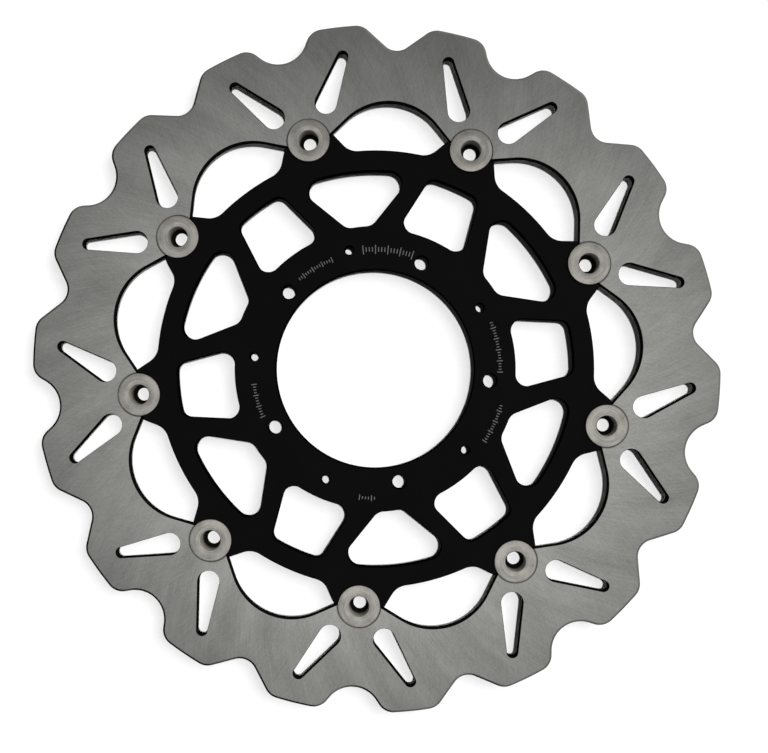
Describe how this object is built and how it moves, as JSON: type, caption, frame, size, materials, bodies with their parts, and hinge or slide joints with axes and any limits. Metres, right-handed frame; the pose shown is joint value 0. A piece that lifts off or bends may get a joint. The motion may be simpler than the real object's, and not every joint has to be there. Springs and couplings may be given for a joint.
{
  "type": "floating brake disc",
  "caption": "Floating motorcycle brake disc: wave-edged slotted steel ring held on a black windowed carrier by hollow flanged buttons with springs, washers and circlips.",
  "frame": {"origin": "on the disc axis, in the plane of the rear ends of the buttons", "axes": "+Z along the disc axis out of the front face, where the button flanges are; +X through one button, one bolt hole and one narrow window, on the plane in which the design mirrors itself"},
  "size_m": [0.3176, 0.32, 0.0094],
  "materials": {
    "ring_steel": "brushed",
    "black_anodised": "matte black anodised",
    "turned_steel": "fine turned, satin",
    "spring_steel": "bright rolled strip",
    "plated_steel": "zinc plated, satin",
    "phosphated_steel": "dark phosphated"
  },
  "bodies": {
    "carrier": {"carrier": "black_anodised"},
    "ring": {"friction_ring": "ring_steel"},
    "button_set_1": {"button_1": "turned_steel", "wave_spring_1": "spring_steel", "washer_1": "plated_steel", "circlip_1": "phosphated_steel"},
    "button_set_2": {"button_2": "turned_steel", "wave_spring_2": "spring_steel", "washer_2": "plated_steel", "circlip_2": "phosphated_steel"},
    "button_set_3": {"button_3": "turned_steel", "wave_spring_3": "spring_steel", "washer_3": "plated_steel", "circlip_3": "phosphated_steel"},
    "button_set_4": {"button_4": "turned_steel", "wave_spring_4": "spring_steel", "washer_4": "plated_steel", "circlip_4": "phosphated_steel"},
    "button_set_5": {"button_5": "turned_steel", "wave_spring_5": "spring_steel", "washer_5": "plated_steel", "circlip_5": "phosphated_steel"},
    "button_set_6": {"button_6": "turned_steel", "wave_spring_6": "spring_steel", "washer_6": "plated_steel", "circlip_6": "phosphated_steel"},
    "button_set_7": {"button_7": "turned_steel", "wave_spring_7": "spring_steel", "washer_7": "plated_steel", "circlip_7": "phosphated_steel"},
    "button_set_8": {"button_8": "turned_steel", "wave_spring_8": "spring_steel", "washer_8": "plated_steel", "circlip_8": "phosphated_steel"},
    "button_set_9": {"button_9": "turned_steel", "wave_spring_9": "spring_steel", "washer_9": "plated_steel", "circlip_9": "phosphated_steel"}
  },
  "joints": [
    {"name": "ring_float", "type": "slide", "parent": "carrier", "child": "ring", "axis": [0, 0, 1], "range_m": [-0.00025, 0.00025], "stiffness_N_per_m": 300000},
    {"name": "button_spin_1", "type": "hinge", "parent": "carrier", "child": "button_set_1", "pos_m": [0.11035, 0, 0.0055], "axis": [0, 0, 1], "continuous": true},
    {"name": "button_spin_2", "type": "hinge", "parent": "carrier", "child": "button_set_2", "pos_m": [0.08453, 0.07093, 0.0055], "axis": [0, 0, 1], "continuous": true},
    {"name": "button_spin_3", "type": "hinge", "parent": "carrier", "child": "button_set_3", "pos_m": [0.01916, 0.10867, 0.0055], "axis": [0, 0, 1], "continuous": true},
    {"name": "button_spin_4", "type": "hinge", "parent": "carrier", "child": "button_set_4", "pos_m": [-0.05518, 0.09557, 0.0055], "axis": [0, 0, 1], "continuous": true},
    {"name": "button_spin_5", "type": "hinge", "parent": "carrier", "child": "button_set_5", "pos_m": [-0.10369, 0.03774, 0.0055], "axis": [0, 0, 1], "continuous": true},
    {"name": "button_spin_6", "type": "hinge", "parent": "carrier", "child": "button_set_6", "pos_m": [-0.10369, -0.03774, 0.0055], "axis": [0, 0, 1], "continuous": true},
    {"name": "button_spin_7", "type": "hinge", "parent": "carrier", "child": "button_set_7", "pos_m": [-0.05518, -0.09557, 0.0055], "axis": [0, 0, 1], "continuous": true},
    {"name": "button_spin_8", "type": "hinge", "parent": "carrier", "child": "button_set_8", "pos_m": [0.01916, -0.10867, 0.0055], "axis": [0, 0, 1], "continuous": true},
    {"name": "button_spin_9", "type": "hinge", "parent": "carrier", "child": "button_set_9", "pos_m": [0.08453, -0.07093, 0.0055], "axis": [0, 0, 1], "continuous": true}
  ]
}
